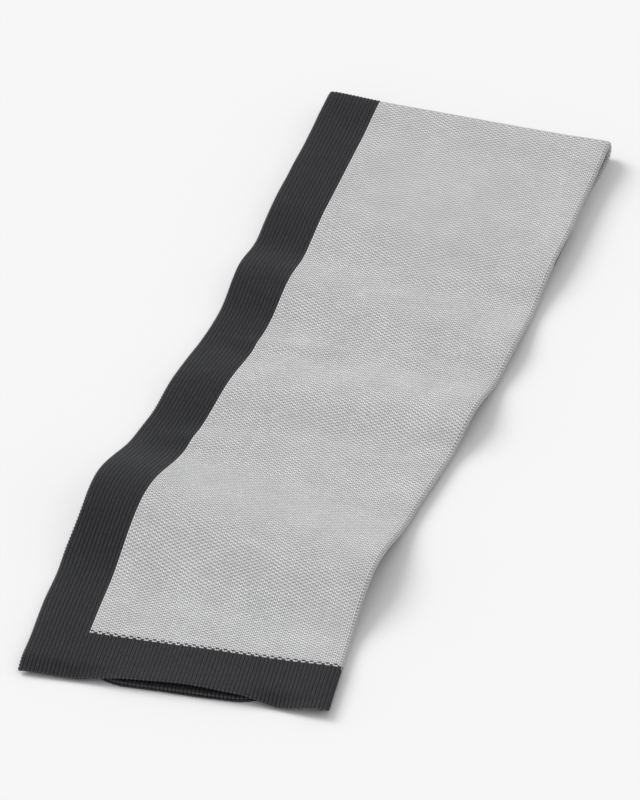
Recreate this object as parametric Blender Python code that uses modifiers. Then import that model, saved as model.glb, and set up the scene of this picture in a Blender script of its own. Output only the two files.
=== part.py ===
# A knit throw, 1.3 m by 1.7 m. It is one piece of cloth, folded in three along its length and laid
# on a flat surface, with its far end turned under. X runs across the folded throw, Y along it from
# the near hem to the far bend, and Z up. Sizes are in metres.
import math

import bmesh
import bpy

# The cloth as it was knitted, with a dark border on all four sides
CLOTH_WIDTH = 1.300
CLOTH_LENGTH = 1.700
THICKNESS = 0.0035
SIDE_BORDER = 0.080
END_BORDER = 0.090

# How its three layers lie
LAYERS = 3
LAYER_GAP = 0.0012
LEFT_TUCK = 0.005  # the left fold lies this far inside the top layer's free edge
RIGHT_TUCK = 0.008  # the bottom layer's free edge lies this far inside the right fold
LEFT_FULLNESS = 0.0020  # how much thicker each soft fold is than two flat layers
RIGHT_FULLNESS = 0.0025
FULLNESS_REACH = SIDE_BORDER  # how far in from an edge a fold still lifts the cloth above it

# The far end, turned under
UNDER_LENGTH = 0.270
BEND_RADIUS = 0.004  # of the inner side of the bend
HEM_CLEARANCE = 0.002
RAMP_LENGTH = 0.140  # over which the throw climbs onto the part that is turned under
BEND_RISE_LENGTH = 0.090  # over which it rises again to the bend

# Soft ridges that lie across the throw. Distances are from the near hem. The heights are those
# of the gap below the throw at its left and right edges, and skew is how far the ridge's line
# moves along the throw for each metre across it.
RIDGE_COLUMNS = ("centre", "half_length", "skew", "left_height", "right_height")
RIDGES = (
    (0.340, 0.170, -0.14, 0.040, 0.028),
    (0.690, 0.105, 0.10, 0.009, 0.018),
    (0.910, 0.100, -0.12, 0.016, 0.008),
)

# The near hem, where the top layer lifts and draws back from the layer below it
HEM_REACH = 0.110
HEM_LIFT = 0.008
HEM_DRAW_BACK = 0.007
MIDDLE_HEM_OUT = 0.003
HEM_LIFT_CENTRE = 0.030
HEM_LIFT_HALF_WIDTH = 0.150

# How the throw strays from a straight line: it goes to the left, then to the right and from
# there straight on, with its courses still across it, and its near end is turned a little
SWAY = 0.018
FURTHEST_LEFT_AT = 0.300
FURTHEST_RIGHT_AT = 0.900
HEM_TURN = math.radians(5)
HEM_TURN_REACH = 0.450
HEM_SPREAD = 0.012  # share by which the throw widens at its near hem
HEM_SPREAD_REACH = 0.250

# Mesh steps
EDGE_STEPS = (0.0, 0.020, 0.045, SIDE_BORDER)
INNER_STEPS = 5
BOTTOM_STEPS = 3
FOLD_STEPS = 5
HEM_ROWS = (0.0, 0.018, 0.040, 0.065, END_BORDER)
RUN_STEP = 0.030
RAMP_STEPS = 5
BEND_RISE_STEPS = 4
BEND_STEPS = 8
UNDER_STEPS = 3

LAYER_STEP = THICKNESS + LAYER_GAP
STACK = LAYERS * THICKNESS + (LAYERS - 1) * LAYER_GAP
LEFT_RADIUS = (LAYER_STEP + LEFT_FULLNESS) / 2
RIGHT_RADIUS = (LAYER_STEP + RIGHT_FULLNESS) / 2
# Three runs and two half turns take up the cloth's width.
FOLDED_WIDTH = (
    CLOTH_WIDTH
    + 2 * (LEFT_RADIUS + RIGHT_RADIUS + LEFT_TUCK)
    + RIGHT_TUCK
    - math.pi * (LEFT_RADIUS + RIGHT_RADIUS)
) / LAYERS
HALF_WIDTH = FOLDED_WIDTH / 2
CLIMB = STACK + HEM_CLEARANCE
BEND_LEVEL = STACK + 2 * BEND_RADIUS
BEND_LENGTH = math.pi * (BEND_RADIUS + STACK / 2)
RUN_LENGTH = CLOTH_LENGTH - UNDER_LENGTH - BEND_LENGTH


def smooth(share):
    """0 up to 0, 1 from 1 on, and a smooth climb between."""
    share = min(max(share, 0.0), 1.0)
    return share * share * (3 - 2 * share)


def swell(distance, half_length):
    """1 at no distance, falling smoothly to 0 at half_length."""
    if abs(distance) >= half_length:
        return 0.0
    return math.cos(math.pi * distance / (2 * half_length)) ** 2


def ridges():
    return [dict(zip(RIDGE_COLUMNS, row)) for row in RIDGES]


def taken_up():
    """Length of cloth that the ridges, the ramp and the rise to the bend take up."""
    length = 0.6 * CLIMB**2 / RAMP_LENGTH
    length += 0.6 * (BEND_LEVEL - CLIMB) ** 2 / BEND_RISE_LENGTH
    for ridge in ridges():
        height = (ridge["left_height"] + ridge["right_height"]) / 2
        length += math.pi**2 * height**2 / (8 * ridge["half_length"])
    return length


BEND_Y = RUN_LENGTH - taken_up()
UNDER_HEM_Y = BEND_Y - UNDER_LENGTH


def ridge_height(x, y):
    height = 0.0
    for ridge in ridges():
        share = x / FOLDED_WIDTH + 0.5
        top = ridge["left_height"] + share * (ridge["right_height"] - ridge["left_height"])
        height += top * swell(y - ridge["centre"] - ridge["skew"] * x, ridge["half_length"])
    return height


def level(y):
    """Height of the throw's underside above the surface, ridges apart."""
    up_ramp = smooth((y - UNDER_HEM_Y + RAMP_LENGTH) / RAMP_LENGTH)
    up_to_bend = smooth((y - BEND_Y + BEND_RISE_LENGTH) / BEND_RISE_LENGTH)
    return CLIMB * up_ramp + (BEND_LEVEL - CLIMB) * up_to_bend


def evenly(start, end, steps):
    """The places that cut a stretch into equal steps, without its start."""
    return [start + (end - start) * step / steps for step in range(1, steps + 1)]


def across_layer(left, right):
    """Places across one layer, closer together near its two ends."""
    near_left = [left + step for step in EDGE_STEPS]
    near_right = [right - step for step in reversed(EDGE_STEPS)]
    return near_left + evenly(near_left[-1], near_right[0], INNER_STEPS)[:-1] + near_right


def section(fullness):
    """The cloth's middle line across the throw, as (layer, x, height), from the top layer's free
    edge round both folds to the bottom layer's free edge. fullness is 1 where the folds are
    soft and 0 where they are pressed flat."""
    bottom = THICKNESS / 2
    middle = bottom + LAYER_STEP
    top = middle + LAYER_STEP
    left_radius = (LAYER_STEP + fullness * LEFT_FULLNESS) / 2
    right_radius = (LAYER_STEP + fullness * RIGHT_FULLNESS) / 2
    left_fold = -HALF_WIDTH + LEFT_TUCK + left_radius
    right_fold = HALF_WIDTH - right_radius
    bottom_edge = HALF_WIDTH - RIGHT_TUCK
    turns = evenly(0.0, math.pi, FOLD_STEPS)[:-1]

    def left_lift(x):
        return fullness * LEFT_FULLNESS * smooth((left_fold + FULLNESS_REACH - x) / FULLNESS_REACH)

    def right_lift(x):
        return fullness * RIGHT_FULLNESS * smooth((x - right_fold + FULLNESS_REACH) / FULLNESS_REACH)

    line = []
    for x in across_layer(-HALF_WIDTH, right_fold):
        line.append(("top", x, top + left_lift(x) + right_lift(x)))
    for turn in turns:
        x = right_fold + right_radius * math.sin(turn)
        line.append(("fold", x, middle + right_radius * (1 + math.cos(turn))))
    for x in reversed(across_layer(left_fold, right_fold)):
        line.append(("middle", x, middle + left_lift(x)))
    for turn in turns:
        x = left_fold - left_radius * math.sin(turn)
        line.append(("fold", x, bottom + left_radius * (1 + math.cos(turn))))
    for x in [left_fold] + evenly(left_fold, bottom_edge - SIDE_BORDER, BOTTOM_STEPS) + [bottom_edge]:
        line.append(("bottom", x, bottom))
    return line


def at_hem(layer, x, along):
    """(draw back, lift) of the cloth near the near hem."""
    near = max(0.0, 1 - along / HEM_REACH) ** 2
    near *= swell(x - HEM_LIFT_CENTRE, HEM_LIFT_HALF_WIDTH)
    if layer == "top":
        return HEM_DRAW_BACK * near, HEM_LIFT * near
    if layer == "middle":
        return -MIDDLE_HEM_OUT * near, 0.0
    return 0.0, 0.0


def on_plan(x, y):
    """Where a point of a straight throw lies once the throw strays from its straight line."""
    spread = 1 + HEM_SPREAD * max(0.0, 1 - y / HEM_SPREAD_REACH) ** 2
    turn = HEM_TURN * (1 - smooth(y / HEM_TURN_REACH))
    share = (min(y, FURTHEST_RIGHT_AT) - FURTHEST_LEFT_AT) / (FURTHEST_RIGHT_AT - FURTHEST_LEFT_AT)
    aside = -SWAY * math.cos(math.pi * share)
    return aside + x * spread * math.cos(turn), y + x * spread * math.sin(turn)


def place(layer, x, height, along):
    """Where a point of the folded cloth lies: height is above the stack's underside, and along
    is the length of cloth from the near hem."""
    if along <= RUN_LENGTH:
        draw_back, lift = at_hem(layer, x, along)
        y = along * BEND_Y / RUN_LENGTH
        plan_x, plan_y = on_plan(x, y)
        return plan_x, plan_y + draw_back, level(y) + ridge_height(x, y) + height + lift
    past = along - RUN_LENGTH
    turn = math.pi * min(past / BEND_LENGTH, 1.0)
    back = max(0.0, past - BEND_LENGTH)
    reach = BEND_RADIUS + height
    plan_x, plan_y = on_plan(x, BEND_Y)
    y = plan_y + reach * math.sin(turn) - back
    return plan_x, y, BEND_LEVEL - BEND_RADIUS + reach * math.cos(turn)


def along_cloth():
    """Lengths of cloth from the near hem at which the mesh has a row."""
    stretch = RUN_LENGTH / BEND_Y
    ramp_start = (UNDER_HEM_Y - RAMP_LENGTH) * stretch
    ramp_end = UNDER_HEM_Y * stretch
    rise_start = (BEND_Y - BEND_RISE_LENGTH) * stretch
    bend_end = RUN_LENGTH + BEND_LENGTH
    return (
        list(HEM_ROWS)
        + evenly(END_BORDER, ramp_start, round((ramp_start - END_BORDER) / RUN_STEP))
        + evenly(ramp_start, ramp_end, RAMP_STEPS)
        + evenly(ramp_end, rise_start, round((rise_start - ramp_end) / RUN_STEP))
        + evenly(rise_start, RUN_LENGTH, BEND_RISE_STEPS)
        + evenly(RUN_LENGTH, bend_end, BEND_STEPS)
        + evenly(bend_end, CLOTH_LENGTH - END_BORDER, UNDER_STEPS)
        + [CLOTH_LENGTH]
    )


def fullness_at(along):
    """The folds are soft on the run and pressed flat from the far bend on."""
    return 1 - smooth((along - RUN_LENGTH) / BEND_LENGTH)


def in_border(column, along, rows):
    """Whether the faces between this column and row and the next ones are in the dark border."""
    line = section(1.0)
    side_steps = len(EDGE_STEPS) - 1
    at_side = column < side_steps or column == len(line) - 2
    return at_side or along < END_BORDER or along >= rows[-2]


def clear_scene():
    for leftover in list(bpy.data.objects):
        bpy.data.objects.remove(leftover)


def knit_material(name, colour):
    material = bpy.data.materials.new(name)
    material.use_nodes = True
    surface = material.node_tree.nodes["Principled BSDF"]
    surface.inputs["Base Color"].default_value = (*colour, 1.0)
    surface.inputs["Roughness"].default_value = 0.95
    surface.inputs["Metallic"].default_value = 0.0
    return material


def cloth_mesh():
    """A flat grid, each point of which is then laid where the folded cloth has it. Its second
    material is the border's."""
    rows = along_cloth()
    columns = len(section(1.0))
    grid = bmesh.new()
    bmesh.ops.create_grid(grid, x_segments=columns - 1, y_segments=len(rows) - 1, size=1.0)
    grid.verts.ensure_lookup_table()
    for row, along in enumerate(rows):
        for column, (layer, x, height) in enumerate(section(fullness_at(along))):
            grid.verts[row * columns + column].co = place(layer, x, height, along)
    for face in grid.faces:
        row, column = divmod(min(vertex.index for vertex in face.verts), columns)
        face.material_index = int(in_border(column, rows[row], rows))
    bmesh.ops.recalc_face_normals(grid, faces=grid.faces)
    mesh = bpy.data.meshes.new("throw")
    grid.to_mesh(mesh)
    grid.free()
    mesh.shade_smooth()
    return mesh


def centre_on_origin(throw):
    """Moves the mesh so that the middle of its footprint is at the origin."""
    bpy.context.view_layer.update()
    solid = throw.evaluated_get(bpy.context.evaluated_depsgraph_get())
    xs = [corner[0] for corner in solid.bound_box]
    ys = [corner[1] for corner in solid.bound_box]
    for vertex in throw.data.vertices:
        vertex.co.x -= (min(xs) + max(xs)) / 2
        vertex.co.y -= (min(ys) + max(ys)) / 2


def main():
    clear_scene()
    collection = bpy.data.collections.new("knit_throw")
    bpy.context.scene.collection.children.link(collection)
    throw = bpy.data.objects.new("throw", cloth_mesh())
    throw.data.materials.append(knit_material("light_grey_knit", (0.49, 0.50, 0.50)))
    throw.data.materials.append(knit_material("charcoal_knit", (0.045, 0.046, 0.049)))
    collection.objects.link(throw)
    solidify = throw.modifiers.new("cloth_thickness", "SOLIDIFY")
    solidify.thickness = THICKNESS
    solidify.offset = 0.0
    solidify.use_even_offset = True
    solidify.use_rim = True
    centre_on_origin(throw)


main()
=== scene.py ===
import math

import bmesh
import bpy
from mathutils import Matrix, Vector, noise


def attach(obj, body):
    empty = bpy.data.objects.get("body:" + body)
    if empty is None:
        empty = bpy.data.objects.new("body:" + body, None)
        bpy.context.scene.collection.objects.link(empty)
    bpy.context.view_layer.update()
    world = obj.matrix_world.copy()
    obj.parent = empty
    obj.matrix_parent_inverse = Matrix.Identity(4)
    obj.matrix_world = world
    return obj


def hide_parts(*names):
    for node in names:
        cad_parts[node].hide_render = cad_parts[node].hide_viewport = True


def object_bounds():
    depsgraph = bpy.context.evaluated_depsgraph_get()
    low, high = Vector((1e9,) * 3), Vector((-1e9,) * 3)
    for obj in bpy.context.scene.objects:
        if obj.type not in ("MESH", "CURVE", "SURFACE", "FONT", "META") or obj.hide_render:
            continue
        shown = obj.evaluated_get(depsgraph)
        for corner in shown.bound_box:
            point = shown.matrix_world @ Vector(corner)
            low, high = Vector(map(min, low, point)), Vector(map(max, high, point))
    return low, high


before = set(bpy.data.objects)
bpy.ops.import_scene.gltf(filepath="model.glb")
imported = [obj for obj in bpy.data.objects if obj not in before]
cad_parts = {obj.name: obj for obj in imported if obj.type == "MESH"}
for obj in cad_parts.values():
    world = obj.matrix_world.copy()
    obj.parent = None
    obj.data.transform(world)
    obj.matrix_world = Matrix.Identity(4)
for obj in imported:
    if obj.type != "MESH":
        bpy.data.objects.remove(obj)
cadLow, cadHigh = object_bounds()
print("frame loaded: box", [round(size, 3) for size in cadHigh - cadLow])

# The throw as it was knitted and as it lies, in metres. Lengths along it start at the near hem.
throw = {
    "width": 1.300,
    "length": 1.700,
    "sheetThickness": 0.0030,  # the stitches stand on this sheet
    "wales": 232,  # columns of stitches, 5.6 mm each
    "courses": 566,  # rows of stitches, 3.0 mm each
    "sideBorder": 14,  # in wales, 80 mm
    "endBorder": 30,  # in courses, 90 mm
    "layerStep": 0.0047,
    "layers": 3,
    "leftTuck": 0.005,
    "leftFullness": 0.0020,
    "rightTuck": 0.008,
    "rightFullness": 0.0025,
    "fullnessReach": 0.080,
    "solidThickness": 0.0035,
    "underLength": 0.270,
    "underAside": 0.0045,  # the part that is turned under lies this far off to the left
    "underReach": 0.120,
    "bendRadius": 0.004,
    "hemClearance": 0.002,
    "ramp": 0.140,
    "bendRise": 0.090,
    "rampTakesUp": 0.6,  # a smooth ramp takes up this share of its height squared over its length
    "sway": 0.018,
    "furthestLeft": 0.300,
    "furthestRight": 0.900,
    "hemTurn": 5.0,  # degrees
    "hemTurnReach": 0.450,
    "hemSpread": 0.012,
    "hemSpreadReach": 0.250,
    "hemReach": 0.110,
    "hemLift": 0.005,
    "hemDrawBack": 0.004,
    "middleHemOut": 0.001,
    "hemLiftCentre": 0.010,
    "hemLiftHalfWidth": 0.165,
}

# Broad soft ridges over the whole width: centre, half length, skew, height at the left and right
broadRidges = (
    (0.340, 0.170, -0.14, 0.040, 0.028),
    (0.690, 0.105, 0.10, 0.009, 0.018),
    (0.910, 0.100, -0.12, 0.016, 0.008),
)

# Small puckers where the throw was bent: along, aside, half length, half width, skew, height
puckers = (
    (0.545, -0.120, 0.030, 0.110, 0.22, 0.0030),
    (0.575, 0.100, 0.026, 0.120, -0.16, 0.0026),
    (0.792, -0.090, 0.022, 0.120, 0.10, 0.0040),
    (0.805, 0.120, 0.024, 0.130, -0.18, 0.0034),
    (1.010, 0.060, 0.030, 0.150, 0.12, 0.0024),
)

# How the layers' surfaces and the edges stray, in metres. The slices are fixed places in the noise.
unevenness = {
    "layerShare": {"top": 1.0, "fold": 0.5, "middle": 0.45, "bottom": 0.0},
    "puffSlice": 3.1,
    "edgeSlice": 7.7,
    "hemSlice": (1.3, 5.9),
    "foldSlice": (2.4, 8.8),
    "puff": 0.0009,
    "puffSize": 0.11,
    "edge": 0.0022,
    "edgeSize": 0.07,
    "hem": 0.0020,
    "hemSize": 0.09,
    "edgeReach": 0.040,
    "edgeDroop": 0.0010,
    "droopReach": 0.007,
    "fold": 0.0020,
    "foldSize": 0.13,
    "foldReach": 0.060,
}

# Near its corners the top layer's hem hangs over the hems below it, in metres
corners = {
    "droop": 0.0064,
    "droopReach": 0.026,
    "out": 0.003,
    "outReach": 0.050,
    "leftWidth": 0.075,
    "leftFade": 0.075,
    "rightStart": 0.130,
    "rightFade": 0.060,
    "rightEnd": 0.010,
    "backAtFold": 0.008,  # how far the hems below lie back, at the right fold and away from it
    "back": 0.020,
    "backFade": 0.060,
    "backReach": 0.100,
    "foldOut": 0.006,
    "foldOutWidth": 0.110,
}


def smooth(share):
    share = min(max(share, 0.0), 1.0)
    return share * share * (3 - 2 * share)


def swell(distance, halfLength):
    # 1 in the middle, falling smoothly to 0 at halfLength
    if abs(distance) >= halfLength:
        return 0.0
    return math.cos(math.pi * distance / (2 * halfLength)) ** 2


def evenly(start, end, steps):
    # the places that cut a stretch into equal steps, without its start
    return [start + (end - start) * step / steps for step in range(1, steps + 1)]


# What follows from the sizes above
stack = throw["solidThickness"] + (throw["layers"] - 1) * throw["layerStep"]
leftRadius = (throw["layerStep"] + throw["leftFullness"]) / 2
rightRadius = (throw["layerStep"] + throw["rightFullness"]) / 2
foldedWidth = (
    throw["width"]
    + 2 * (leftRadius + rightRadius + throw["leftTuck"])
    + throw["rightTuck"]
    - math.pi * (leftRadius + rightRadius)
) / throw["layers"]
topRun = foldedWidth - rightRadius
middleRun = foldedWidth - rightRadius - throw["leftTuck"] - leftRadius
climb = stack + throw["hemClearance"]
bendLevel = stack + 2 * throw["bendRadius"]
bendLength = math.pi * (throw["bendRadius"] + stack / 2)
runLength = throw["length"] - throw["underLength"] - bendLength
walePitch = throw["width"] / throw["wales"]
coursePitch = throw["length"] / throw["courses"]


def takenUp():
    # length of cloth that the ridges, the ramp and the rise to the bend take up
    length = throw["rampTakesUp"] * climb**2 / throw["ramp"]
    length += throw["rampTakesUp"] * (bendLevel - climb) ** 2 / throw["bendRise"]
    for _, halfLength, _, left, right in broadRidges:
        length += math.pi**2 * ((left + right) / 2) ** 2 / (8 * halfLength)
    return length


bendY = runLength - takenUp()
underHemY = bendY - throw["underLength"]


def heightOfGap(x, y):
    # height of the throw's underside above the floor
    gap = climb * smooth((y - underHemY + throw["ramp"]) / throw["ramp"])
    gap += (bendLevel - climb) * smooth((y - bendY + throw["bendRise"]) / throw["bendRise"])
    share = x / foldedWidth + 0.5
    for centre, halfLength, skew, left, right in broadRidges:
        gap += (left + share * (right - left)) * swell(y - centre - skew * x, halfLength)
    for along, aside, halfLength, halfWidth, skew, height in puckers:
        across = swell(x - aside, halfWidth)
        gap += height * across * swell(y - along - skew * (x - aside), halfLength)
    return gap


def section(across, fullness):
    # (layer, x, height) of the cloth's middle at this distance from its left side edge
    bottom = throw["solidThickness"] / 2
    middle = bottom + throw["layerStep"]
    top = middle + throw["layerStep"]
    left = fullness * throw["leftFullness"]
    right = fullness * throw["rightFullness"]
    rightFold = foldedWidth / 2 - rightRadius
    leftFold = rightFold - middleRun
    reach = throw["fullnessReach"]
    if across <= topRun:
        x = across - foldedWidth / 2
        lift = left * smooth((leftFold + reach - x) / reach)
        lift += right * smooth((x - rightFold + reach) / reach)
        return "top", x, top + lift
    across -= topRun
    if across <= math.pi * rightRadius:
        turn = across / rightRadius
        radius = (throw["layerStep"] + right) / 2
        return "fold", rightFold + radius * math.sin(turn), middle + radius * (1 + math.cos(turn))
    across -= math.pi * rightRadius
    if across <= middleRun:
        x = rightFold - across
        return "middle", x, middle + left * smooth((leftFold + reach - x) / reach)
    across -= middleRun
    if across <= math.pi * leftRadius:
        turn = across / leftRadius
        radius = (throw["layerStep"] + left) / 2
        return "fold", leftFold - radius * math.sin(turn), bottom + radius * (1 + math.cos(turn))
    return "bottom", leftFold + across - math.pi * leftRadius, bottom


def cornerShares(x):
    # 1 near the left corner and near the right one, and 0 in the middle
    fromLeft = x + foldedWidth / 2
    fromRight = foldedWidth / 2 - x
    left = 1 - smooth((fromLeft - corners["leftWidth"]) / corners["leftFade"])
    right = smooth((corners["rightStart"] - fromRight) / corners["rightFade"])
    return left, right


def hemBack(x, across):
    # how far back the hem lies here, more and more from the top layer round the fold and inwards
    left, right = cornerShares(x)
    pastTop = smooth((across - topRun) / (math.pi * rightRadius))
    fromRight = foldedWidth / 2 - rightRadius - x
    further = (corners["back"] - corners["backAtFold"]) * smooth(fromRight / corners["backFade"])
    return max(left, right) * pastTop * (corners["backAtFold"] + further)


def strayOf(layer, x, y, across):
    # (sideways, along, up) that this point of the cloth lies off the even fold
    look = unevenness
    aside = along = up = 0.0
    spot = Vector((x / look["puffSize"], y / look["puffSize"], look["puffSlice"]))
    up += look["layerShare"][layer] * look["puff"] * (1 + noise.noise(spot))
    edge = 1 - smooth(min(across, throw["width"] - across) / look["edgeReach"])
    spot = Vector((y / look["edgeSize"], look["edgeSlice"], across))
    aside += edge * look["edge"] * noise.noise(spot)
    hem = 1 - smooth(y / look["edgeReach"])
    spot = Vector((across / look["hemSize"], *look["hemSlice"]))
    along += hem * look["hem"] * noise.noise(spot)
    up -= look["edgeDroop"] * (1 - smooth(across / look["droopReach"]))
    left, right = cornerShares(x)
    along += hemBack(x, across) * (1 - smooth(y / corners["backReach"]))
    if layer == "top":
        fromRight = foldedWidth / 2 - x
        right *= smooth((fromRight - corners["rightEnd"]) / corners["rightFade"])
        up -= corners["droop"] * max(left, right) * (1 - smooth(y / corners["droopReach"]))
        along -= corners["out"] * max(left, right) * (1 - smooth(y / corners["outReach"]))
    if layer != "bottom":
        nearFold = smooth((x - foldedWidth / 2) / corners["foldOutWidth"] + 1)
        along -= corners["foldOut"] * nearFold * (1 - smooth(y / corners["backReach"]))
        atFold = smooth((x - foldedWidth / 2) / look["foldReach"] + 1)
        spot = Vector((y / look["foldSize"], *look["foldSlice"]))
        aside += atFold * look["fold"] * noise.noise(spot)
    lifted = max(0.0, 1 - y / throw["hemReach"]) ** 2
    lifted *= swell(x - throw["hemLiftCentre"], throw["hemLiftHalfWidth"])
    if layer == "top":
        along += throw["hemDrawBack"] * lifted
        up += throw["hemLift"] * lifted
    if layer == "middle":
        along -= throw["middleHemOut"] * lifted
    return aside, along, up


def onPlan(x, y):
    spread = 1 + throw["hemSpread"] * max(0.0, 1 - y / throw["hemSpreadReach"]) ** 2
    turn = math.radians(throw["hemTurn"]) * (1 - smooth(y / throw["hemTurnReach"]))
    span = throw["furthestRight"] - throw["furthestLeft"]
    share = (min(y, throw["furthestRight"]) - throw["furthestLeft"]) / span
    aside = -throw["sway"] * math.cos(math.pi * share)
    return aside + x * spread * math.cos(turn), y + x * spread * math.sin(turn)


def laidAt(across, along):
    # where this point of the flat cloth lies once the throw is folded and laid down
    past = along - runLength
    layer, x, height = section(across, 1 - smooth(past / bendLength))
    if past <= 0:
        y = along * bendY / runLength
        aside, forward, up = strayOf(layer, x, y, across)
        planX, planY = onPlan(x, y)
        return planX + aside, planY + forward, heightOfGap(x, y) + height + up
    turn = math.pi * min(past / bendLength, 1.0)
    aside, _, up = strayOf(layer, x, bendY, across)
    reach = throw["bendRadius"] + height + up * (1 - smooth(past / bendLength))
    planX, planY = onPlan(x, bendY)
    back = max(0.0, past - bendLength)
    aside -= throw["underAside"] * smooth(back / throw["underReach"])
    level = bendLevel - throw["bendRadius"] + reach * math.cos(turn)
    return planX + aside, planY + reach * math.sin(turn) - back, level


def linear(hexColour):
    # an sRGB hex colour as the linear values that the shader takes
    values = [int(hexColour[at:at + 2], 16) / 255 for at in (1, 3, 5)]
    return *(v / 12.92 if v <= 0.04045 else ((v + 0.055) / 1.055) ** 2.4 for v in values), 1.0


def addNode(tree, kind, settings=None, inputs=None):
    # One node with its settings. An input is a value, a socket, another node, which then gives its
    # first live output, or a list of nodes for a socket that joins several.
    node = tree.nodes.new(kind)
    for name, value in (settings or {}).items():
        setattr(node, name, value)
    for name, sources in (inputs or {}).items():
        for source in sources if isinstance(sources, list) else [sources]:
            if isinstance(source, bpy.types.Node):
                source = next(output for output in source.outputs if output.enabled)
            if isinstance(source, bpy.types.NodeSocket):
                tree.links.new(source, node.inputs[name])
            else:
                node.inputs[name].default_value = source
    return node


def asObject(shape, name):
    # a finished bmesh as an object in the scene
    mesh = bpy.data.meshes.new(name)
    shape.to_mesh(mesh)
    shape.free()
    made = bpy.data.objects.new(name, mesh)
    bpy.context.scene.collection.objects.link(made)
    return made


def newSurface(name, values):
    # a material with these values on its shader's own sockets, and that shader
    material = bpy.data.materials.new(name)
    material.use_nodes = True
    surface = material.node_tree.nodes["Principled BSDF"]
    for socket, value in values.items():
        surface.inputs[socket].default_value = value
    return material, surface


# The middle of the cloth as a fine grid, with the flat cloth as its UV map
grid = {
    "edgeStep": 0.002,
    "topSteps": 78,
    "innerSteps": 40,
    "foldSteps": 8,
    "rowStep": 0.0090,
    "bendRows": 14,
    "underRows": 30,
    "hemRows": (0.0, 0.0015, 0.004, 0.007, 0.010, 0.014, 0.018, 0.024, 0.031),
}


def clothGrid():
    foldStart = topRun + math.pi * rightRadius
    leftStart = foldStart + middleRun
    leftEnd = leftStart + math.pi * leftRadius
    columns = [0.0, grid["edgeStep"]]
    columns += evenly(grid["edgeStep"], topRun, grid["topSteps"])
    columns += evenly(topRun, foldStart, grid["foldSteps"])
    columns += evenly(foldStart, leftStart, grid["innerSteps"])
    columns += evenly(leftStart, leftEnd, grid["foldSteps"])
    columns += evenly(leftEnd, throw["width"], grid["innerSteps"])
    firstRow = grid["hemRows"][-1]
    bendEnd = runLength + bendLength
    rows = list(grid["hemRows"])
    rows += evenly(firstRow, runLength, round((runLength - firstRow) / grid["rowStep"]))
    rows += evenly(runLength, bendEnd, grid["bendRows"])
    rows += evenly(bendEnd, throw["length"], grid["underRows"])
    return columns, rows


def makeClothMiddle():
    columns, rows = clothGrid()
    sheet = bmesh.new()
    bmesh.ops.create_grid(sheet, x_segments=len(columns) - 1, y_segments=len(rows) - 1, size=1.0)
    sheet.verts.ensure_lookup_table()
    flatCloth = sheet.loops.layers.uv.new("flatCloth")
    for row, along in enumerate(rows):
        for column, across in enumerate(columns):
            sheet.verts[row * len(columns) + column].co = laidAt(across, along)
    for face in sheet.faces:
        for loop in face.loops:
            row, column = divmod(loop.vert.index, len(columns))
            loop[flatCloth].uv = (columns[column] / throw["width"], rows[row] / throw["length"])
    bmesh.ops.recalc_face_normals(sheet, faces=sheet.faces)
    xs = [vertex.co.x for vertex in sheet.verts]
    ys = [vertex.co.y for vertex in sheet.verts]
    centre = (cadLow + cadHigh) / 2
    shift = Vector((centre.x - (min(xs) + max(xs)) / 2, centre.y - (min(ys) + max(ys)) / 2, 0))
    bmesh.ops.translate(sheet, vec=shift, verts=sheet.verts)
    middle = asObject(sheet, "clothMiddle")
    middle.data.shade_smooth()
    return middle


def plainMesh(maker, name):
    # the object's evaluated shape as a plain mesh object of its own
    bpy.context.view_layer.update()
    graph = bpy.context.evaluated_depsgraph_get()
    mesh = bpy.data.meshes.new_from_object(maker.evaluated_get(graph), depsgraph=graph)
    mesh.name = name
    made = bpy.data.objects.new(name, mesh)
    bpy.context.scene.collection.objects.link(made)
    return made


# Cotton yarns. The white and the grey are knitted together, and the charcoal is the border's.
yarns = {
    "white": "#E0E0DF",
    "grey": "#A1A2A4",
    "charcoal": "#3D3D41",
    "charcoalPaintedShade": "#212225",  # painted shade: the charcoal darkened for the ground between the border's ribs
    "fuzz": {"white": 0.20, "grey": 0.20, "charcoal": 0.10},
    # how much lighter or darker one stitch is than the next: the charcoal is a heathered yarn
    "shadeSpread": {"white": 0.10, "grey": 0.10, "charcoal": 0.18},
    "fibreSize": 0.0006,
    "fibreSpread": 0.11,
    "patchSize": 0.05,  # soft lighter and darker areas, as yarn from different cones gives
    "patchSpread": 0.04,
    "plyTurns": 3.0,  # along one leg of a stitch, so about one each 1.6 mm
    "plySlant": 0.7,
    # painted shade in the grooves between the plies: the tone dips by this share
    "plyPaintedShade": 0.05,
    "plyRelief": 0.3,  # of the fibres' own
    "noiseRange": (0.3, 0.7),  # where most of a noise's values lie
    "reliefStrength": 0.4,
    "reliefDepth": 0.0003,
    "roughness": 0.92,
    "ior": 1.53,
    "specular": 0.25,
    "fuzzRoughness": 0.5,
}


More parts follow.
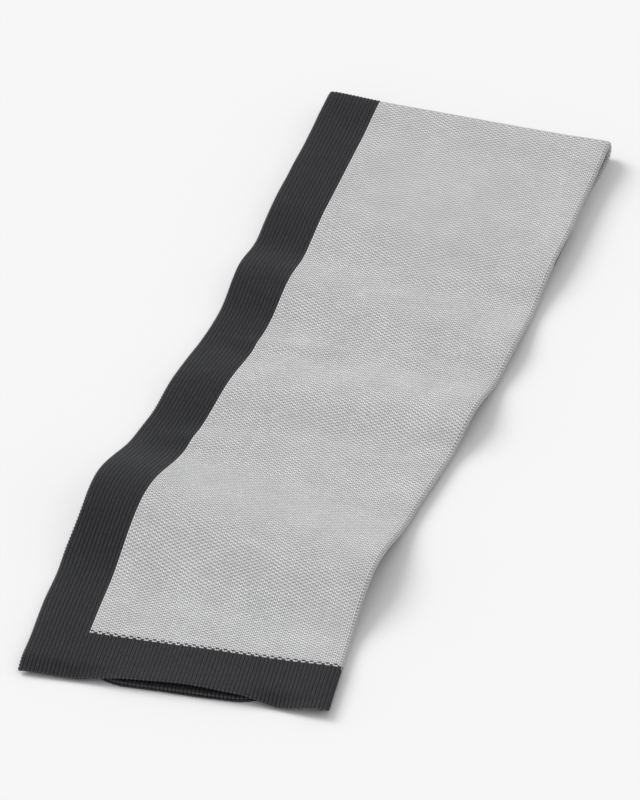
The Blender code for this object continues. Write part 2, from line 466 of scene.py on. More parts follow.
def yarnMaterial(name, yarn):
    # Combed cotton, spun and plied: no gloss, a faint bright fuzz where the light grazes it, fine
    # slanting grooves between its plies as bumps with painted shade in them, and a tone that strays a
    # little from stitch to stitch.
    # Cotton has an IOR of about 1.53, and yarn is nearly fully rough.
    material, surface = newSurface(name, {
        "Roughness": yarns["roughness"],
        "IOR": yarns["ior"],
        "Specular IOR Level": yarns["specular"],
        "Sheen Weight": yarns["fuzz"][yarn],
        "Sheen Roughness": yarns["fuzzRoughness"],
    })
    tree = material.node_tree
    place = addNode(tree, "ShaderNodeTexCoord").outputs["Object"]
    stitch = addNode(tree, "ShaderNodeAttribute", {"attribute_name": "stitchShade"})
    fibres = addNode(tree, "ShaderNodeTexNoise", inputs={
        "Vector": place,
        "Scale": 1 / yarns["fibreSize"],
        "Detail": 2.0,
    })
    patches = addNode(tree, "ShaderNodeTexNoise", inputs={
        "Vector": place,
        "Scale": 1 / yarns["patchSize"],
        "Detail": 2.0,
    })
    turns = addNode(tree, "ShaderNodeVectorMath", {"operation": "DOT_PRODUCT"}, {
        0: addNode(tree, "ShaderNodeUVMap", {"uv_map": "ply"}),
        1: (2 * math.pi * yarns["plyTurns"], 2 * math.pi * yarns["plySlant"], 0.0),
    })
    plies = addNode(tree, "ShaderNodeMath", {"operation": "SINE"}, {0: turns})
    shade = 1.0
    for source, least, most, spread in (
        (stitch.outputs["Fac"], 0.0, 1.0, yarns["shadeSpread"][yarn]),
        (patches, *yarns["noiseRange"], yarns["patchSpread"]),
        (fibres, *yarns["noiseRange"], yarns["fibreSpread"]),
        # painted shade: darker in the grooves between the plies
        (plies, -1.0, 1.0, yarns["plyPaintedShade"]),
    ):
        share = addNode(tree, "ShaderNodeMapRange", inputs={
            "Value": source,
            "From Min": least,
            "From Max": most,
            "To Min": 1 - spread,
            "To Max": 1 + spread,
        })
        shade = addNode(tree, "ShaderNodeMath", {"operation": "MULTIPLY"}, {0: shade, 1: share})
    tinted = addNode(tree, "ShaderNodeVectorMath", {"operation": "SCALE"}, {
        0: linear(yarns[yarn])[:3],
        "Scale": shade,
    })
    relief = addNode(tree, "ShaderNodeMath", {"operation": "MULTIPLY_ADD"}, {
        0: plies,
        1: yarns["plyRelief"],
        2: fibres,
    })
    bump = addNode(tree, "ShaderNodeBump", inputs={
        "Strength": yarns["reliefStrength"],
        "Distance": yarns["reliefDepth"],
        "Height": relief,
    })
    tree.links.new(tinted.outputs["Vector"], surface.inputs["Base Color"])
    tree.links.new(bump.outputs["Normal"], surface.inputs["Normal"])
    return material


# The cloth under and behind the stitches
ground = {
    "roughness": 0.95,
    "specular": 0.2,
    "fuzz": 0.1,
    "slant": 1.8,  # of each V, in courses a wale
    # painted shade: the share of the colour left in the gaps between the V shapes
    "gapShade": 0.55,
    "loopShare": 0.5,  # of the relief that follows the courses
    "reliefStrength": 0.8,
    "reliefDepth": 0.0012,
}


def clothMaterial():
    # The same cotton knit where single stitches aren't modelled: matt rows of V shapes, from the
    # flat cloth's UV map, 5.6 mm by 3 mm each, with painted shade darkening the gaps between them
    material, surface = newSurface("knitGround", {
        "Roughness": ground["roughness"],
        "IOR": yarns["ior"],
        "Specular IOR Level": ground["specular"],
        "Sheen Weight": ground["fuzz"],
    })
    tree = material.node_tree
    flat = addNode(tree, "ShaderNodeUVMap", {"uv_map": "flatCloth"})
    parts = addNode(tree, "ShaderNodeSeparateXYZ", inputs={0: flat})
    values = {"across": parts.outputs["X"], "along": parts.outputs["Y"]}
    wales, courses = float(throw["wales"]), float(throw["courses"])
    for name, operation, *inputs in (
        ("wale", "MULTIPLY", "across", wales),
        ("course", "MULTIPLY", "along", courses),
        ("inWale", "FRACT", "wale"),
        ("offMiddle", "SUBTRACT", "inWale", 0.5),
        ("fromMiddle", "ABSOLUTE", "offMiddle"),
        ("slant", "MULTIPLY", "fromMiddle", ground["slant"]),  # each V climbs away from its middle
        ("climbing", "SUBTRACT", "course", "slant"),
        ("waleAngle", "MULTIPLY", "inWale", 2 * math.pi),
        ("waleWave", "SINE", "waleAngle"),
        ("legs", "ABSOLUTE", "waleWave"),
        ("courseAngle", "MULTIPLY", "climbing", math.pi),
        ("courseWave", "SINE", "courseAngle"),
        ("loops", "ABSOLUTE", "courseWave"),
        ("loopShare", "MULTIPLY_ADD", "loops", ground["loopShare"], 1 - ground["loopShare"]),
        ("relief", "MULTIPLY", "legs", "loopShare"),
        ("waleNumber", "FLOOR", "wale"),
        ("courseNumber", "FLOOR", "climbing"),
        ("both", "ADD", "waleNumber", "courseNumber"),
        ("turn", "MODULO", "both", 2.0),
        ("fromRight", "SUBTRACT", wales, "wale"),
        ("fromSide", "MINIMUM", "wale", "fromRight"),
        ("pastSide", "GREATER_THAN", "fromSide", float(throw["sideBorder"])),
        ("fromFarEnd", "SUBTRACT", courses, "course"),
        ("fromEnd", "MINIMUM", "course", "fromFarEnd"),
        ("pastEnd", "GREATER_THAN", "fromEnd", float(throw["endBorder"])),
        ("inBody", "MULTIPLY", "pastSide", "pastEnd"),
    ):
        sources = {at: values.get(value, value) for at, value in enumerate(inputs)}
        values[name] = addNode(tree, "ShaderNodeMath", {"operation": operation}, sources)
    body = addNode(tree, "ShaderNodeMix", {"data_type": "RGBA"}, {
        "Factor": values["turn"],
        "A": linear(yarns["white"]),
        "B": linear(yarns["grey"]),
    })
    # painted shade: in the border the ground sheet takes the darkened charcoal, not the yarn's own
    allOver = addNode(tree, "ShaderNodeMix", {"data_type": "RGBA"}, {
        "Factor": values["inBody"],
        "A": linear(yarns["charcoalPaintedShade"]),
        "B": body,
    })
    # painted shade: the colour darkens in the gaps between the V shapes, where the stitches shade them
    gaps = addNode(tree, "ShaderNodeMapRange", inputs={
        "Value": values["relief"],
        "To Min": ground["gapShade"],
        "To Max": 1.0,
    })
    shaded = addNode(tree, "ShaderNodeVectorMath", {"operation": "SCALE"}, {0: allOver, "Scale": gaps})
    bump = addNode(tree, "ShaderNodeBump", inputs={
        "Strength": ground["reliefStrength"],
        "Distance": ground["reliefDepth"],
        "Height": values["relief"],
    })
    tree.links.new(shaded.outputs["Vector"], surface.inputs["Base Color"])
    tree.links.new(bump.outputs["Normal"], surface.inputs["Normal"])
    return material


# The cloth's repeats on its map for baked textures: even, so that white and grey keep their turns
bakeRepeat = {"wales": 12, "courses": 16}


def bakeShift(low, high, count, border, repeat):
    # how far a face moves so that the middle's repeats lie on one another
    if low < border:
        return 0
    if high > count - border:
        return count - 2 * (border + repeat)
    return (low - border) // repeat * repeat


def addBakeMap(cloth):
    # Laid out flat, the whole cloth would leave a stitch about two pixels of a baked texture. So
    # all repeats of the middle share one place on this map, beside the borders.
    mesh = cloth.data
    mesh.uv_layers.new(name="OFBake")
    flat, baked = (mesh.uv_layers[name].data for name in ("flatCloth", "OFBake"))
    axes = (
        (throw["wales"], throw["sideBorder"], bakeRepeat["wales"]),
        (throw["courses"], throw["endBorder"], bakeRepeat["courses"]),
    )
    for face in mesh.polygons:
        for axis, (count, border, repeat) in enumerate(axes):
            places = [flat[loop].uv[axis] * count for loop in face.loop_indices]
            shift = bakeShift(min(places), max(places), count, border, repeat)
            for loop, place in zip(face.loop_indices, places):
                baked[loop].uv[axis] = (place - shift) / (2 * (border + repeat))


# The sheet's softened rim
clothRim = {"bevel": 0.0008, "segments": 2, "sharpFrom": 60.0}  # metres and degrees


def makeCloth(middle):
    solidify = middle.modifiers.new("thickness", "SOLIDIFY")
    solidify.thickness = throw["sheetThickness"]
    solidify.offset = 0.0
    solidify.use_even_offset = True
    bevel = middle.modifiers.new("softRim", "BEVEL")
    bevel.width = clothRim["bevel"]
    bevel.segments = clothRim["segments"]
    bevel.limit_method = "ANGLE"
    bevel.angle_limit = math.radians(clothRim["sharpFrom"])
    cloth = plainMesh(middle, "throwCloth")
    middle.modifiers.clear()
    cloth.data.materials.clear()
    cloth.data.materials.append(clothMaterial())
    cloth.data.shade_smooth()
    addBakeMap(cloth)
    return cloth


# Stitches: two slanting legs each, in shares of a wale across and a course along, heights in metres
stitchShapes = {
    "bodyStitch": {
        "footAside": 0.13,
        "headAside": 0.36,
        "foot": -0.75,
        "head": 0.80,
        "legWidth": 0.40,
        "footRidge": 0.00060,
        "headRidge": 0.00040,
        "sunk": -0.00035,
    },
    "ribStitch": {  # the border's wales are drawn in and stand up as fine ribs
        "footAside": 0.105,
        "headAside": 0.165,
        "foot": -0.80,
        "head": 0.85,
        "legWidth": 0.27,
        "footRidge": 0.00110,
        "headRidge": 0.00090,
        "sunk": -0.00050,
    },
}


# How the whole knit strays from an even grid, and the charcoal beads where border and body meet
knit = {
    "drift": 0.0016,
    "driftSize": 0.055,
    "lean": 0.07,  # radians
    "smallest": 0.93,
    "largest": 1.06,
    "beadGirth": 0.50,  # how much wider than a rib's stitch
    "beadLength": -0.25,
    "beadLift": 0.00045,
    "ridgeEnds": (0.22, 0.78),  # where a leg's ridge begins and ends, as shares of the leg
    "seedStep": 10,
}

# Places are looked up a little inside the cloth's UV map, and the way inwards a little further in
lookups = {"inside": 0.0006, "inward": 0.0015}


# The stitches' cells on their map for baked textures: the rim is a share of a cell
bakeCells = {"pixels": 512, "rim": 0.05}  # pixels of the texture each way


def makeStitch(name):
    # both legs in one mesh, each a closed bar with a raised ridge
    shape = stitchShapes[name]
    length = shape["head"] - shape["foot"]
    spread = shape["headAside"] - shape["footAside"]
    stitch = bmesh.new()
    for layer in ("ply", "OFBake"):
        stitch.loops.layers.uv.new(layer)
    ply, inCell = (stitch.loops.layers.uv[layer] for layer in ("ply", "OFBake"))
    for side in (-1, 1):
        places = {}
        rows = ((0.0, -0.5, None), (0.0, 0.5, None), (1.0, -0.5, None), (1.0, 0.5, None))
        ridgeStart, ridgeEnd = knit["ridgeEnds"]
        rows += ((ridgeStart, 0.0, shape["footRidge"]), (ridgeEnd, 0.0, shape["headRidge"]))
        for share, out, ridge in rows:
            aside = shape["footAside"] + share * spread + out * shape["legWidth"]
            along = shape["foot"] + share * length
            height = shape["sunk"] if ridge is None else ridge
            vertex = stitch.verts.new((side * aside * walePitch, along * coursePitch, height))
            places[vertex] = (share, 0.5 + side * out)
        footIn, footOut, headIn, headOut, low, high = places
        under = stitch.faces.new((footIn, headIn, headOut, footOut))
        for edge in under.edges:
            edge.smooth = False  # so that the hidden under face doesn't darken the sides
        for ring in (
            (footIn, footOut, low),
            (headOut, headIn, high),
            (footIn, low, high, headIn),
            (footOut, headOut, high, low),
        ):
            stitch.faces.new(ring)
        for vertex, place in places.items():
            for loop in vertex.link_loops:
                loop[ply].uv = place
                loop[inCell].uv = ((place[1] + max(side, 0)) / 2, place[0])
    bmesh.ops.recalc_face_normals(stitch, faces=stitch.faces)
    return asObject(stitch, name)


def addInput(tree, name, kind, value=None):
    socket = tree.interface.new_socket(name, in_out="INPUT", socket_type=kind)
    if value is not None:
        socket.default_value = value
    return socket


def stitchPattern(tree, given):
    # what each stitch of a block is, from its number: its yarn is 0 for white, 1 for grey and 2
    # for charcoal. White and grey take turns, and so do white and charcoal in the two courses
    # where the end border meets the body.
    number = addNode(tree, "GeometryNodeInputIndex")
    operations = {"column": "DIVIDE_FLOOR", "row": "MODULO"}
    values = dict(given.items())
    for name, operation in operations.items():
        inputs = {0: number, 1: given["Courses"]}
        values[name] = addNode(tree, "FunctionNodeIntegerMath", {"operation": operation}, inputs)
    for name, operation, *inputs in (
        ("wale", "ADD", "column", "First wale"),
        ("course", "ADD", "row", "First course"),
        ("both", "ADD", "wale", "course"),
        ("turn", "MODULO", "both", 2.0),
        ("fromRight", "SUBTRACT", throw["wales"] - 1.0, "wale"),
        ("fromSide", "MINIMUM", "wale", "fromRight"),
        ("inSide", "LESS_THAN", "fromSide", throw["sideBorder"] - 0.5),
        ("fromFarEnd", "SUBTRACT", throw["courses"] - 1.0, "course"),
        ("fromEnd", "MINIMUM", "course", "fromFarEnd"),
        ("inEnd", "LESS_THAN", "fromEnd", throw["endBorder"] - 0.5),
        ("rib", "MAXIMUM", "inSide", "inEnd"),
        ("whereTheyMeet", "LESS_THAN", "fromEnd", throw["endBorder"] + 1.5),
        ("mixed", "MULTIPLY", "whereTheyMeet", "turn"),
        ("dark", "MAXIMUM", "rib", "mixed"),
        ("darkYarn", "MULTIPLY", "dark", 2.0),
        ("yarn", "MAXIMUM", "turn", "darkYarn"),
        ("bead", "SUBTRACT", "dark", "rib"),
        ("girth", "MULTIPLY_ADD", "bead", knit["beadGirth"], 1.0),
        ("stretch", "MULTIPLY_ADD", "bead", knit["beadLength"], 1.0),
        ("lift", "MULTIPLY", "bead", knit["beadLift"]),
        ("x", "MULTIPLY_ADD", "wale", walePitch, walePitch / 2),
        ("y", "MULTIPLY_ADD", "course", coursePitch, coursePitch / 2),
    ):
        sources = {at: values.get(value, value) for at, value in enumerate(inputs)}
        values[name] = addNode(tree, "ShaderNodeMath", {"operation": operation}, sources)
    return values


def flatStitches(tree, given):
    # the block's stitches, laid out flat
    pattern = stitchPattern(tree, given)
    count = addNode(tree, "ShaderNodeMath", {"operation": "MULTIPLY"}, {
        0: given["Wales"],
        1: given["Courses"],
    })
    spot = addNode(tree, "ShaderNodeCombineXYZ", inputs={
        "X": pattern["x"],
        "Y": pattern["y"],
        "Z": pattern["lift"],
    })
    # the wales wander a little, as in any hand-washed knit
    drift = addNode(tree, "ShaderNodeTexNoise", inputs={
        "Vector": spot,
        "Scale": 1 / knit["driftSize"],
        "Detail": 1.0,
    })
    strayed = addNode(tree, "ShaderNodeVectorMath", {"operation": "MULTIPLY_ADD"}, {
        0: drift.outputs["Color"],
        1: (knit["drift"], knit["drift"], 0.0),
        2: (-knit["drift"] / 2, -knit["drift"] / 2, 0.0),
    })
    points = addNode(tree, "GeometryNodePoints", inputs={
        "Count": count,
        "Position": addNode(tree, "ShaderNodeVectorMath", {"operation": "ADD"}, {0: spot, 1: strayed}),
    })
    chances = {
        "shade": (0.0, 1.0),
        "lean": (-knit["lean"], knit["lean"]),
        "size": (knit["smallest"], knit["largest"]),
    }
    drawn = {}
    for step, (name, (least, most)) in enumerate(chances.items()):
        seed = addNode(tree, "ShaderNodeMath", {"operation": "ADD"}, {0: given["Seed"], 1: float(step)})
        drawn[name] = addNode(tree, "FunctionNodeRandomValue", {"data_type": "FLOAT"}, {
            "Min": least,
            "Max": most,
            "Seed": seed,
        })
    cellPlace = [
        addNode(tree, "FunctionNodeIntegerMath", {"operation": operation}, {
            0: addNode(tree, "GeometryNodeInputIndex"),
            1: given["Cells across"],
        })
        for operation in ("MODULO", "DIVIDE_FLOOR")
    ]
    cell = addNode(tree, "ShaderNodeCombineXYZ", inputs={"X": cellPlace[0], "Y": cellPlace[1]})
    marked = points
    for name, kind, value in (
        ("yarn", "FLOAT", pattern["yarn"]),
        ("stitchShade", "FLOAT", drawn["shade"]),
        ("cell", "FLOAT_VECTOR", cell),
    ):
        marked = addNode(tree, "GeometryNodeStoreNamedAttribute", {"data_type": kind, "domain": "POINT"}, {
            "Geometry": marked,
            "Name": name,
            "Value": value,
        })
    sizes = [
        addNode(tree, "ShaderNodeMath", {"operation": "MULTIPLY"}, {0: drawn["size"], 1: pattern[name]})
        for name in ("girth", "stretch")
    ]
    scale = addNode(tree, "ShaderNodeCombineXYZ", inputs={"X": sizes[0], "Y": sizes[1], "Z": 1.0})
    body = addNode(tree, "ShaderNodeMath", {"operation": "SUBTRACT"}, {0: 1.0, 1: pattern["dark"]})
    laid = []
    for name, chosen in (("Body stitch", body), ("Rib stitch", pattern["dark"])):
        stitch = addNode(tree, "GeometryNodeObjectInfo", inputs={"Object": given[name]})
        laid.append(addNode(tree, "GeometryNodeInstanceOnPoints", inputs={
            "Points": marked,
            "Selection": chosen,
            "Instance": stitch.outputs["Geometry"],
            "Rotation": addNode(tree, "ShaderNodeCombineXYZ", inputs={"Z": drawn["lean"]}),
            "Scale": scale,
        }))
    both = addNode(tree, "GeometryNodeJoinGeometry", inputs={"Geometry": laid})
    block = addNode(tree, "GeometryNodeRealizeInstances", inputs={"Geometry": both})
    # Each stitch has a cell of its own, of whole pixels, on the UV map that textures are baked on,
    # so that no yarn takes its neighbour's colour. A thin rim of the cell stays free.
    cells, inCell = [
        addNode(tree, "GeometryNodeInputNamedAttribute", {"data_type": "FLOAT_VECTOR"}, {"Name": name})
        for name in ("cell", "OFBake")
    ]
    rim = bakeCells["rim"]
    filled = addNode(tree, "ShaderNodeVectorMath", {"operation": "MULTIPLY_ADD"}, {
        0: inCell,
        1: (1 - 2 * rim, 1 - 2 * rim, 0.0),
        2: (rim, rim, 0.0),
    })
    placed = addNode(tree, "ShaderNodeVectorMath", {"operation": "ADD"}, {0: cells, 1: filled})
    share = addNode(tree, "ShaderNodeVectorMath", {"operation": "SCALE"}, {
        0: placed,
        "Scale": given["Cell size"],
    })
    return addNode(tree, "GeometryNodeStoreNamedAttribute", {"data_type": "FLOAT2", "domain": "CORNER"}, {
        "Geometry": block,
        "Name": "OFBake",
        "Value": share,
    })


def wrapped(tree, given, flatShape):
    # each flat place is looked up in the cloth's UV map, and its height goes along the normal there
    cloth = addNode(tree, "GeometryNodeObjectInfo", inputs={"Object": given["Cloth"]})
    place = addNode(tree, "GeometryNodeInputPosition")
    flat = addNode(tree, "ShaderNodeSeparateXYZ", inputs={0: place})
    inside = lookups["inside"]
    shares = [
        addNode(tree, "ShaderNodeMapRange", inputs={
            "Value": flat.outputs[axis],
            "From Min": inside * throw[size],
            "From Max": (1 - inside) * throw[size],
            "To Min": inside,
            "To Max": 1 - inside,
        })
        for axis, size in (("X", "width"), ("Y", "length"))
    ]
    lookup = addNode(tree, "ShaderNodeCombineXYZ", inputs={"X": shares[0], "Y": shares[1]})
    uvMap = addNode(tree, "GeometryNodeInputNamedAttribute", {"data_type": "FLOAT_VECTOR"}, {
        "Name": "flatCloth",
    })
    surface, normal = [
        addNode(tree, "GeometryNodeSampleUVSurface", {"data_type": "FLOAT_VECTOR"}, {
            "Mesh": cloth.outputs["Geometry"],
            "Value": addNode(tree, kind),
            "UV Map": uvMap,
            "Sample UV": lookup,
        })
        for kind in ("GeometryNodeInputPosition", "GeometryNodeInputNormal")
    ]
    height = addNode(tree, "ShaderNodeMath", {"operation": "ADD"}, {
        0: flat.outputs["Z"],
        1: throw["sheetThickness"] / 2,
    })
    out = addNode(tree, "ShaderNodeMath", {"operation": "MULTIPLY"}, {0: height, 1: given["Side"]})
    raised = addNode(tree, "ShaderNodeVectorMath", {"operation": "SCALE"}, {0: normal, "Scale": out})
    onCloth = addNode(tree, "GeometryNodeSetPosition", inputs={
        "Geometry": flatShape,
        "Position": addNode(tree, "ShaderNodeVectorMath", {"operation": "ADD"}, {0: surface, 1: raised}),
    })
    # on the cloth's other side the stitches come out mirrored
    mirrored = addNode(tree, "ShaderNodeMath", {"operation": "LESS_THAN"}, {0: given["Side"], 1: 0.0})
    return addNode(tree, "GeometryNodeFlipFaces", inputs={"Mesh": onCloth, "Selection": mirrored})


def knitTree():
    # a block of stitches on the cloth, each in its own yarn
    tree = bpy.data.node_groups.new("knitStitches", "GeometryNodeTree")
    for name in ("Cloth", "Body stitch", "Rib stitch"):
        addInput(tree, name, "NodeSocketObject")
    for name in ("First wale", "Wales", "First course", "Courses", "Cells across", "Seed"):
        addInput(tree, name, "NodeSocketInt", 1)
    for name in ("Cell size", "Side"):
        addInput(tree, name, "NodeSocketFloat", 1.0)
    for name in ("White yarn", "Grey yarn", "Charcoal yarn"):
        addInput(tree, name, "NodeSocketMaterial")
    tree.interface.new_socket("Geometry", in_out="OUTPUT", socket_type="NodeSocketGeometry")
    given = addNode(tree, "NodeGroupInput").outputs
    shape = wrapped(tree, given, flatStitches(tree, given))
    shape = addNode(tree, "GeometryNodeSetShadeSmooth", inputs={"Geometry": shape})
    yarn = addNode(tree, "GeometryNodeInputNamedAttribute", {"data_type": "FLOAT"}, {"Name": "yarn"})
    for name, least in (("White yarn", -0.5), ("Grey yarn", 0.5), ("Charcoal yarn", 1.5)):
        chosen = addNode(tree, "ShaderNodeMath", {"operation": "GREATER_THAN"}, {0: yarn, 1: least})
        shape = addNode(tree, "GeometryNodeSetMaterial", inputs={
            "Geometry": shape,
            "Selection": chosen,
            "Material": given[name],
        })
    addNode(tree, "NodeGroupOutput", inputs={"Geometry": shape})
    return tree


def runTree(tree, name, values):
    # one run of a Geometry Nodes tree, kept as a plain mesh
    holder = bpy.data.objects.new(name + "Maker", bpy.data.meshes.new(name + "Maker"))
    bpy.context.scene.collection.objects.link(holder)
    modifier = holder.modifiers.new(name, "NODES")
    modifier.node_group = tree
    for item in tree.interface.items_tree:
        if item.in_out == "INPUT" and item.name in values:
            modifier[item.identifier] = values[item.name]
    made = plainMesh(holder, name)
    bpy.data.objects.remove(holder)
    return made


# Links along the hems and side edges: each a small bead, in metres
edging = {
    "length": 0.0066,
    "width": 0.0032,
    "height": 0.0034,
    "sideLinks": 315,
    "outset": 0.0004,
    "slant": 0.35,  # radians
    "facesAround": 8,
    "faceRings": 5,
    "firstSeed": 100,
}


def makeLink():
    link = bmesh.new()
    around, rings = edging["facesAround"], edging["faceRings"]
    bmesh.ops.create_uvsphere(link, u_segments=around, v_segments=rings, radius=0.5)
    size = Vector((edging["width"], edging["length"], edging["height"]))
    bmesh.ops.scale(link, vec=size, verts=link.verts)
    return asObject(link, "link")


def edgeTree():
    # links along one edge of the flat cloth, from a start and a step in its UV map
    tree = bpy.data.node_groups.new("edgeLinks", "GeometryNodeTree")
    for name in ("Cloth", "Link"):
        addInput(tree, name, "NodeSocketObject")
    for name in ("Links", "Seed"):
        addInput(tree, name, "NodeSocketInt", 1)
    for name in ("Start", "Step", "Inward"):
        addInput(tree, name, "NodeSocketVector")
    addInput(tree, "Yarn", "NodeSocketMaterial")
    tree.interface.new_socket("Geometry", in_out="OUTPUT", socket_type="NodeSocketGeometry")
    given = addNode(tree, "NodeGroupInput").outputs
    line = addNode(tree, "GeometryNodeMeshLine", inputs={
        "Count": given["Links"],
        "Start Location": given["Start"],
        "Offset": given["Step"],
    })
    shade = addNode(tree, "FunctionNodeRandomValue", {"data_type": "FLOAT"}, {"Seed": given["Seed"]})
    marked = addNode(tree, "GeometryNodeStoreNamedAttribute", {"data_type": "FLOAT", "domain": "POINT"}, {
        "Geometry": line,
        "Name": "stitchShade",
        "Value": shade,
    })
    # the cloth's place and normal at the edge, and its place a little further in
    cloth = addNode(tree, "GeometryNodeObjectInfo", inputs={"Object": given["Cloth"]})
    place = addNode(tree, "GeometryNodeInputPosition")
    further = addNode(tree, "ShaderNodeVectorMath", {"operation": "ADD"}, {0: place, 1: given["Inward"]})
    uvMap = addNode(tree, "GeometryNodeInputNamedAttribute", {"data_type": "FLOAT_VECTOR"}, {
        "Name": "flatCloth",
    })
    edge, normal, inner = [
        addNode(tree, "GeometryNodeSampleUVSurface", {"data_type": "FLOAT_VECTOR"}, {
            "Mesh": cloth.outputs["Geometry"],
            "Value": value,
            "UV Map": uvMap,
            "Sample UV": lookup,
        })
        for value, lookup in (
            (place, place),
            (addNode(tree, "GeometryNodeInputNormal"), place),
            (place, further),
        )
    ]
    across = addNode(tree, "ShaderNodeVectorMath", {"operation": "SUBTRACT"}, {0: edge, 1: inner})
    outward = addNode(tree, "ShaderNodeVectorMath", {"operation": "NORMALIZE"}, {0: across})
    outset = addNode(tree, "ShaderNodeVectorMath", {"operation": "SCALE"}, {
        0: outward,
        "Scale": edging["outset"],
    })
    turned = addNode(tree, "FunctionNodeAxesToRotation", {"primary_axis": "Z", "secondary_axis": "X"}, {
        "Primary Axis": normal,
        "Secondary Axis": outward,
    })
    slant = addNode(tree, "FunctionNodeRandomValue", {"data_type": "FLOAT"}, {
        "Min": 0.5 * edging["slant"],
        "Max": 1.5 * edging["slant"],
        "Seed": given["Seed"],
    })
    slanted = addNode(tree, "FunctionNodeRotateRotation", {"rotation_space": "LOCAL"}, {
        "Rotation": turned,
        "Rotate By": addNode(tree, "ShaderNodeCombineXYZ", inputs={"Z": slant}),
    })
    # the links are turned while they still stand at their places in the UV map, and then moved
    link = addNode(tree, "GeometryNodeObjectInfo", inputs={"Object": given["Link"]})
    links = addNode(tree, "GeometryNodeInstanceOnPoints", inputs={
        "Points": marked,
        "Instance": link.outputs["Geometry"],
        "Rotation": slanted,
    })
    placed = addNode(tree, "GeometryNodeSetPosition", inputs={
        "Geometry": links,
        "Position": addNode(tree, "ShaderNodeVectorMath", {"operation": "ADD"}, {0: edge, 1: outset}),
    })
    real = addNode(tree, "GeometryNodeRealizeInstances", inputs={"Geometry": placed})
    finished = addNode(tree, "GeometryNodeSetShadeSmooth", inputs={"Geometry": real})
    coloured = addNode(tree, "GeometryNodeSetMaterial", inputs={
        "Geometry": finished,
        "Material": given["Yarn"],
    })
    addNode(tree, "NodeGroupOutput", inputs={"Geometry": coloured})
    return tree


def makeEdging(middle, yarn):
    tree = edgeTree()
    link = makeLink()
    wales, sides = throw["wales"], edging["sideLinks"]
    edge, inward = lookups["inside"], lookups["inward"]
    lines = {
        "nearHemChain": (wales, (0.5 / wales, edge, 0), (1 / wales, 0, 0), (0, inward, 0)),
        "farHemChain": (wales, (0.5 / wales, 1 - edge, 0), (1 / wales, 0, 0), (0, -inward, 0)),
        "openEdgeChain": (sides, (edge, 0.5 / sides, 0), (0, 1 / sides, 0), (inward, 0, 0)),
        "hiddenEdgeChain": (sides, (1 - edge, 0.5 / sides, 0), (0, 1 / sides, 0), (-inward, 0, 0)),
    }
    pieces = []
    for seed, (name, (count, start, step, inwards)) in enumerate(lines.items()):
        pieces.append(runTree(tree, name, {
            "Cloth": middle,
            "Link": link,
            "Links": count,
            "Start": start,
            "Step": step,
            "Inward": inwards,
            "Seed": edging["firstSeed"] + seed,
            "Yarn": yarn,
        }))
    bpy.data.objects.remove(link)
    return pieces


# Blocks of stitches: name, first wale, wales, first course, courses, side of the cloth
blocks = {
    "knitNear": (0, 82, 0, 118, 1.0),
    "knitRidge": (0, 82, 118, 118, 1.0),
    "knitMiddle": (0, 82, 236, 118, 1.0),
    "knitFar": (0, 82, 354, 121, 1.0),
    "knitMiddleHem": (79, 76, 0, 6, -1.0),
    "knitLeftFold": (151, 5, 0, 475, -1.0),
}


def makeKnit(middle, yarnMaterials):
    tree = knitTree()
    stitches = [makeStitch(name) for name in stitchShapes]
    pieces = []
    for seed, (name, (firstWale, wales, firstCourse, courses, side)) in enumerate(blocks.items()):
        cellsAcross = math.isqrt(wales * courses - 1) + 1
        piece = runTree(tree, name, {
            "Cloth": middle,
            "Body stitch": stitches[0],
            "Rib stitch": stitches[1],
            "First wale": firstWale,
            "Wales": wales,
            "First course": firstCourse,
            "Courses": courses,
            "Cells across": cellsAcross,
            "Cell size": bakeCells["pixels"] // cellsAcross / bakeCells["pixels"],
            "Side": side,
            "Seed": knit["seedStep"] * seed,
            "White yarn": yarnMaterials["white"],
            "Grey yarn": yarnMaterials["grey"],
            "Charcoal yarn": yarnMaterials["charcoal"],
        })
        print(name, len(piece.data.polygons), "faces", [m.name for m in piece.data.materials if m])
        pieces.append(piece)
    for stitch in stitches:
        bpy.data.objects.remove(stitch)
    return pieces


# Plain pale floor and soft studio light
studio = {
    "floor": "#E2E2E2",
    "floorSize": 14.0,
    "floorRoughness": 0.8,
    "floorSpecular": 0.1,
    "worldColour": "#FFFFFF",
    "world": 0.78,
    "keyPower": 2.2,
    "keySoftness": 34.0,  # degrees
    "keyFrom": (-2.3, 0.9, 2.0),
}


def makeKey():
    # one far, broad soft box, so that the floor keeps one tone
    light = bpy.data.lights.new("key", "SUN")
    light.energy = studio["keyPower"]
    light.angle = math.radians(studio["keySoftness"])
    lamp = bpy.data.objects.new("key", light)
    lamp.location = studio["keyFrom"]
    lamp.rotation_mode = "QUATERNION"
    lamp.rotation_quaternion = (-Vector(studio["keyFrom"])).to_track_quat("-Z", "Y")
    bpy.context.scene.collection.objects.link(lamp)


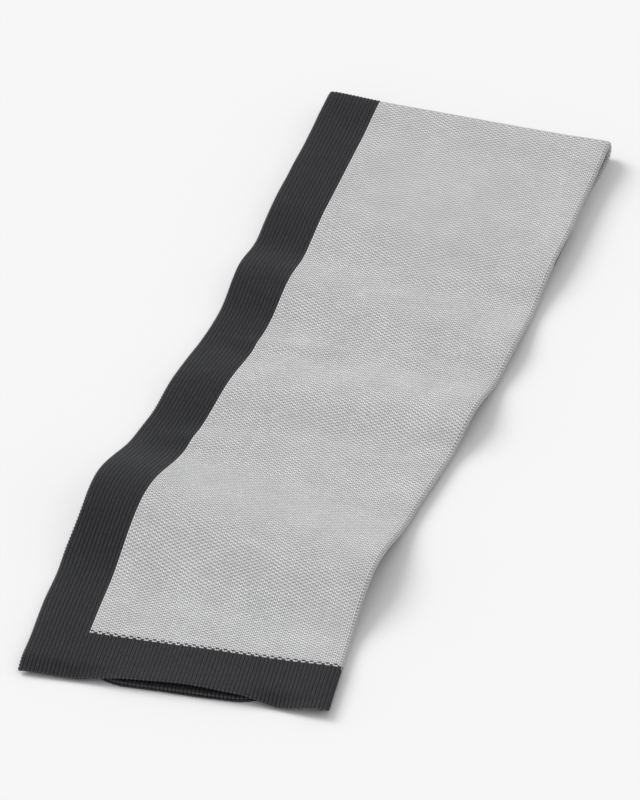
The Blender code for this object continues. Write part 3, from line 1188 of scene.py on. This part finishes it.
def makeStudio():
    plane = bmesh.new()
    bmesh.ops.create_grid(plane, x_segments=1, y_segments=1, size=studio["floorSize"] / 2)
    floor = asObject(plane, "floor")
    # Emulsion paint, rolled on: one even, matt, very pale grey
    paint, _ = newSurface("mattEmulsionPaint", {
        "Base Color": linear(studio["floor"]),
        "Roughness": studio["floorRoughness"],
        "Specular IOR Level": studio["floorSpecular"],
    })
    floor.data.materials.append(paint)
    world = bpy.data.worlds.new("studio")
    world.use_nodes = True
    background = world.node_tree.nodes["Background"]
    background.inputs["Color"].default_value = linear(studio["worldColour"])
    background.inputs["Strength"].default_value = studio["world"]
    bpy.context.scene.world = world
    makeKey()
    bpy.context.scene.view_settings.view_transform = "Standard"


# The camera looks down on the throw from its near end
view = {
    "azimuth": 17.2,  # degrees
    "elevation": 37.5,
    "distance": 14.0,
    "lens": 436.0,  # millimetres, as the sensor is
    "sensor": 36.0,
    "aim": (0.000, 0.000, 0.01),
}


def makeCamera():
    data = bpy.data.cameras.new("camera")
    data.lens = view["lens"]
    data.sensor_width = view["sensor"]
    camera = bpy.data.objects.new("camera", data)
    bpy.context.scene.collection.objects.link(camera)
    around, up = math.radians(view["azimuth"]), math.radians(view["elevation"])
    level = math.cos(up)
    back = Vector((math.sin(around) * level, -math.cos(around) * level, math.sin(up)))
    camera.location = Vector(view["aim"]) + back * view["distance"]
    camera.rotation_mode = "QUATERNION"
    camera.rotation_quaternion = (-back).to_track_quat("-Z", "Y")
    bpy.context.scene.camera = camera


makeCamera()
makeStudio()
print("studio ready")
clothMiddle = makeClothMiddle()
throwCloth = makeCloth(clothMiddle)
print("cloth laid:", len(throwCloth.data.polygons), "faces")
yarnMaterials = {yarn: yarnMaterial(yarn + "CottonYarn", yarn) for yarn in ("white", "grey", "charcoal")}
knitPieces = makeKnit(clothMiddle, yarnMaterials)
knitPieces += makeEdging(clothMiddle, yarnMaterials["charcoal"])
bpy.data.objects.remove(clothMiddle)
print("stitches knitted")

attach(throwCloth, "root")
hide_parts("throw")
for piece in knitPieces:
    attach(piece, "root")
print("pieces on the frame")
